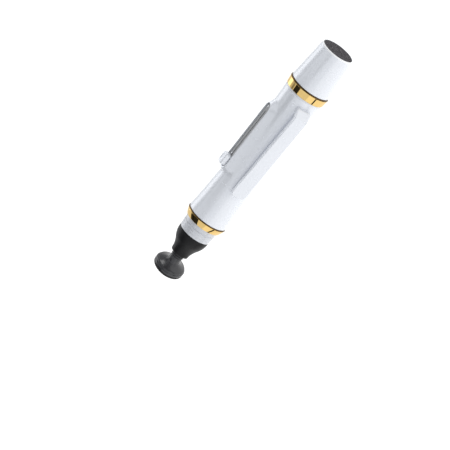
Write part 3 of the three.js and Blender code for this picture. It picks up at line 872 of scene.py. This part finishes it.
def hair_ends(count, length, thickness):
    """Hair tips that fill the brush end, each a thin tapering rod of its own height."""
    vertices, faces = [], []
    golden = math.pi * (3 - math.sqrt(5))
    for i in range(count):
        share = math.sqrt((i + 0.5) / count)
        turn = i * golden + RNG.normal(0, 0.05)
        reach = min(BRUSH_RADIUS * share + RNG.normal(0, 0.02), BRUSH_LIMIT)
        y, z = reach * math.cos(turn), reach * math.sin(turn)
        tip = BRUSH_END - abs(RNG.normal(0, 0.03))
        thick = thickness * RNG.uniform(0.8, 1.25)
        sway = RNG.normal(0, 0.04, 2) * (1 - share ** 4)
        spin = RNG.uniform(0, 2 * math.pi)
        base = len(vertices)
        # station, share of the thickness, share of the sway
        for x, width, move in ((tip - length, 1.0, 0.0), (tip - 0.2, 0.9, 0.8), (tip, 0.35, 1.0)):
            for k in range(3):
                a = spin + k * 2 * math.pi / 3
                vertices.append(at(
                    x, (y + sway[0] * move) + thick * width * math.cos(a),
                    (z + sway[1] * move) + thick * width * math.sin(a),
                ))
        for level in (0, 3):
            for k in range(3):
                j = (k + 1) % 3
                faces.append([base + level + k, base + level + j, base + level + 3 + j,
                              base + level + 3 + k])
        faces.append([base + 6, base + 7, base + 8])
        faces.append([base + 2, base + 1, base])
    return finish_mesh("bristle_tips", vertices, faces, 60)


def hair_sides(count, thickness):
    """Long hairs round the outside of the tuft, from the ferrule to the brush end."""
    spans = 8
    vertices, faces = [], []
    for i in range(count):
        turn = 2 * math.pi * (i + RNG.uniform(-0.4, 0.4)) / count
        lift = RNG.uniform(-0.12, 0.03)
        drift = RNG.normal(0, 0.035)
        end = -0.35 - abs(RNG.normal(0, 0.2))
        stations = np.linspace(-25.5, end, spans + 1)
        base = len(vertices)
        for n, x in enumerate(stations):
            t = n / spans
            radius = tuft_radius(x) + lift - 0.06
            a = turn + drift * t
            width = thickness * (1 - 0.6 * t ** 3)
            for k in range(3):
                b = k * 2 * math.pi / 3
                r, side = radius + width * math.cos(b), width * math.sin(b)
                vertices.append(at(x, r * math.cos(a) - side * math.sin(a),
                                   r * math.sin(a) + side * math.cos(a)))
        for level in range(spans):
            for k in range(3):
                j = (k + 1) % 3
                a, b = base + 3 * level, base + 3 * level + 3
                faces.append([a + k, a + j, b + j, b + k])
        faces.append([base + 2, base + 1, base])
        last = base + 3 * spans
        faces.append([last, last + 1, last + 2])
    return finish_mesh("bristle_sides", vertices, faces, 60)


tips = hair_ends(count=5200, length=1.6, thickness=0.055)
dress(tips, HAIR, "brush_slider", "bristle")
tips.data.materials.append(EDGE_HAIR_PAINTED_SHADE)
# Tips round the tuft's edge get the darker hair: painted shade of the gap beside the mouth's wall.
for face in tips.data.polygons:
    place = (face.center - MOUTH) / MM
    if math.hypot(place.y, place.z) > EDGE_RADIUS and place.x > EDGE_DEPTH:
        face.material_index = 1
dress(hair_sides(count=620, thickness=0.05), HAIR, "brush_slider", "bristle")

ferrule = rounded(
    [(-35.5, 4.9), (-35.5, 5.4), (-26.0, 5.4), (-25.6, 5.28), (-25.2, 5.4), (-24.9, 5.55),
     (-24.4, 5.55), (-24.2, 5.35), (-24.2, 4.9)],
    [0, 0.1, 0.2, 0.2, 0.2, 0.2, 0.2, 0.15, 0.1],
)
dress(lathe("ferrule_tube", ferrule, 96), TIN, "brush_slider", "ferrule_metal", "brush_ferrule")

# ---------------------------------------------------------------- CAD nodes that stay

for node, material in {
    "brush_carriage": INNER, "detent_spring": STEEL, "stem_root": RUBBER, "stem_retainer": INNER,
    "pad_cushion": FOAM,
}.items():
    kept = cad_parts[node]
    kept.data.materials.clear()
    kept.data.materials.append(material)

# ---------------------------------------------------------------- floor, light and camera


def stage_floor():
    """A large floor with a white glow, for the photograph's white background."""
    size = 8.0
    corners = [(-size, -size, 0), (size, -size, 0), (size, size, 0), (-size, size, 0)]
    floor = finish_mesh("floor", corners, [[0, 1, 2, 3]])
    look = Look("floor_white", Roughness=0.9, Specular_IOR_Level=0.0)
    tone = look.spread(look.noise(3, 3), 0, 1)
    look.base(look.blend(tone, (0.10, 0.10, 0.10), (0.12, 0.12, 0.12)))
    look.shader.inputs["Emission Color"].default_value = (1, 1, 1, 1)
    look.shader.inputs["Emission Strength"].default_value = 1.15
    floor.data.materials.append(look.material)


def dark_card(back, front, near, far):
    """A small black card just over the floor, seen only in the pen's reflections; in metres."""
    z = 0.0003
    corners = [(back, near, z), (front, near, z), (front, far, z), (back, far, z)]
    card = finish_mesh("dark_card", corners, [[0, 1, 2, 3]])
    look = Look("card_black", Roughness=1.0, Specular_IOR_Level=0.0)
    look.base(look.blend(look.noise(200, 2), (0.004, 0.004, 0.004), (0.008, 0.008, 0.008)))
    card.data.materials.append(look.material)
    card.visible_camera = False
    card.visible_diffuse = False
    card.visible_shadow = False


stage_floor()
dark_card(0.026, 0.034, -0.0160, -0.0130)  # beside the upper ring
dark_card(-0.052, -0.031, -0.0125, -0.0098)  # beside the collar, funnel and head


class Sky:
    """The studio's surroundings: white, with dark gaps between its soft panels."""

    def __init__(self, strength):
        world = bpy.data.worlds.new("studio")
        bpy.context.scene.world = world
        world.use_nodes = True
        self.tree = world.node_tree
        self.back = self.tree.nodes["Background"]
        self.back.inputs["Color"].default_value = (0.965, 0.98, 1.0, 1)
        self.direction = self.tree.nodes.new("ShaderNodeTexCoord").outputs["Generated"]
        self.level = None
        self.times(self.constant(strength))

    def constant(self, value):
        node = self.tree.nodes.new("ShaderNodeValue")
        node.outputs[0].default_value = value
        return node.outputs[0]

    def times(self, value):
        if self.level is None:
            self.level = value
            return
        node = self.tree.nodes.new("ShaderNodeMath")
        node.operation = "MULTIPLY"
        self.tree.links.new(self.level, node.inputs[0])
        self.tree.links.new(value, node.inputs[1])
        self.level = node.outputs[0]

    def share(self, axis):
        """How far each direction goes along axis, from -1 to 1."""
        dot = self.tree.nodes.new("ShaderNodeVectorMath")
        dot.operation = "DOT_PRODUCT"
        dot.inputs[1].default_value = Vector(axis).normalized()
        self.tree.links.new(self.direction, dot.inputs[0])
        return dot.outputs["Value"]

    def ramp(self, value, start, end, first, second):
        """Goes smoothly from first to second while value goes from start to end."""
        node = self.tree.nodes.new("ShaderNodeMapRange")
        node.interpolation_type = "SMOOTHSTEP"
        for key, number in (
            ("From Min", start), ("From Max", end), ("To Min", first), ("To Max", second),
        ):
            node.inputs[key].default_value = number
        self.tree.links.new(value, node.inputs["Value"])
        return node.outputs["Result"]

    def math(self, operation, first, second=None):
        node = self.tree.nodes.new("ShaderNodeMath")
        node.operation = operation
        for slot, value in enumerate((first, second)):
            if value is None:
                continue
            if isinstance(value, (int, float)):
                node.inputs[slot].default_value = value
            else:
                self.tree.links.new(value, node.inputs[slot])
        return node.outputs[0]

    def dim(self, axis, start, end, level):
        """Fades to level where a direction's share along axis passes from start to end."""
        self.times(self.ramp(self.share(axis), start, end, 1.0, level))

    def band(self, centre, half, level, back=1.0, front=0.0, fade=(-0.44, -0.36), soft=2.0):
        """A dark gap along the pen, centre degrees from overhead towards the clip's side.

        Its strength goes from back to front where the share along the pen passes fade.
        """
        angle = self.math("ARCTAN2", self.share((0, -1, 0)), self.share((0, 0, 1)))
        away = self.math("ABSOLUTE", self.math("SUBTRACT", angle, math.radians(centre)))
        depth = self.ramp(away, math.radians(half), math.radians(half + soft), 1.0 - level, 0.0)
        kept = self.ramp(self.share((1, 0, 0)), *fade, back, front)
        self.times(self.math("SUBTRACT", 1.0, self.math("MULTIPLY", depth, kept)))

    def finish(self):
        self.tree.links.new(self.level, self.back.inputs["Strength"])


def world_light():
    """A white sky with dark gaps, set to the bands on the photograph's gold and white."""
    sky = Sky(0.98)
    sky.band(15, 15, 0.03, fade=(-0.30, -0.22))
    sky.band(-12, 6, 0.4, fade=(-0.43, -0.38))
    sky.band(-18, 18, 0.05, fade=(-0.68, -0.58))
    sky.band(41, 8, 0.3, back=0.0, front=1.0, fade=(-0.28, -0.2))
    sky.band(-20, 9, 0.5, back=0.5, front=1.0)
    sky.dim((1, 0, 0), 0.2, 0.7, 0.6)
    sky.finish()


world_light()


def area_light(name, place, target, size, power):
    data = bpy.data.lights.new(name, "AREA")
    data.shape = "RECTANGLE"
    data.size, data.size_y = size
    data.energy = power
    lamp = bpy.data.objects.new(name, data)
    bpy.context.scene.collection.objects.link(lamp)
    lamp.location = place
    lamp.rotation_euler = (Vector(target) - Vector(place)).to_track_quat("-Z", "Y").to_euler()
    return lamp


area_light("softbox_top", (0.0, 0.75, 0.65), (0, 0, 0), (1.4, 0.5), 2.2)
area_light("softbox_brush", (0.9, 0.25, 0.3), (0, 0, 0), (0.3, 0.3), 1.0)

TOWARDS_CAMERA = Vector((0.32, -0.844, 0.43)).normalized()
ROLL = math.radians(61.0)
LENS, SENSOR = 500.0, 36.0
IMAGE_SIDE, PIXELS_PER_MM = 450, 2.78
FRAME_WIDTH = IMAGE_SIDE / PIXELS_PER_MM * MM
MOUTH_PIXEL = (338.15, 50.95)  # where the middle of the brush mouth stands in the picture


def set_camera():
    """A long lens, turned about the line of sight and shifted to match the photograph."""
    data = bpy.data.cameras.new("camera")
    data.lens, data.sensor_width = LENS, SENSOR
    data.clip_start, data.clip_end = 0.05, 50
    camera = bpy.data.objects.new("camera", data)
    bpy.context.scene.collection.objects.link(camera)
    level = Vector((0, 0, 1)).cross(TOWARDS_CAMERA).normalized()
    upright = TOWARDS_CAMERA.cross(level)
    right = level * math.cos(ROLL) - upright * math.sin(ROLL)
    up = level * math.sin(ROLL) + upright * math.cos(ROLL)
    scale = FRAME_WIDTH / IMAGE_SIDE
    across = (MOUTH_PIXEL[0] - IMAGE_SIDE / 2) * scale
    above = (IMAGE_SIDE / 2 - MOUTH_PIXEL[1]) * scale
    target = MOUTH - right * across - up * above
    distance = FRAME_WIDTH * LENS / SENSOR
    turn = Matrix((right, up, TOWARDS_CAMERA)).transposed()
    camera.matrix_world = Matrix.Translation(target + TOWARDS_CAMERA * distance) @ turn.to_4x4()
    bpy.context.scene.camera = camera


set_camera()
bpy.context.scene.view_settings.view_transform = "Standard"
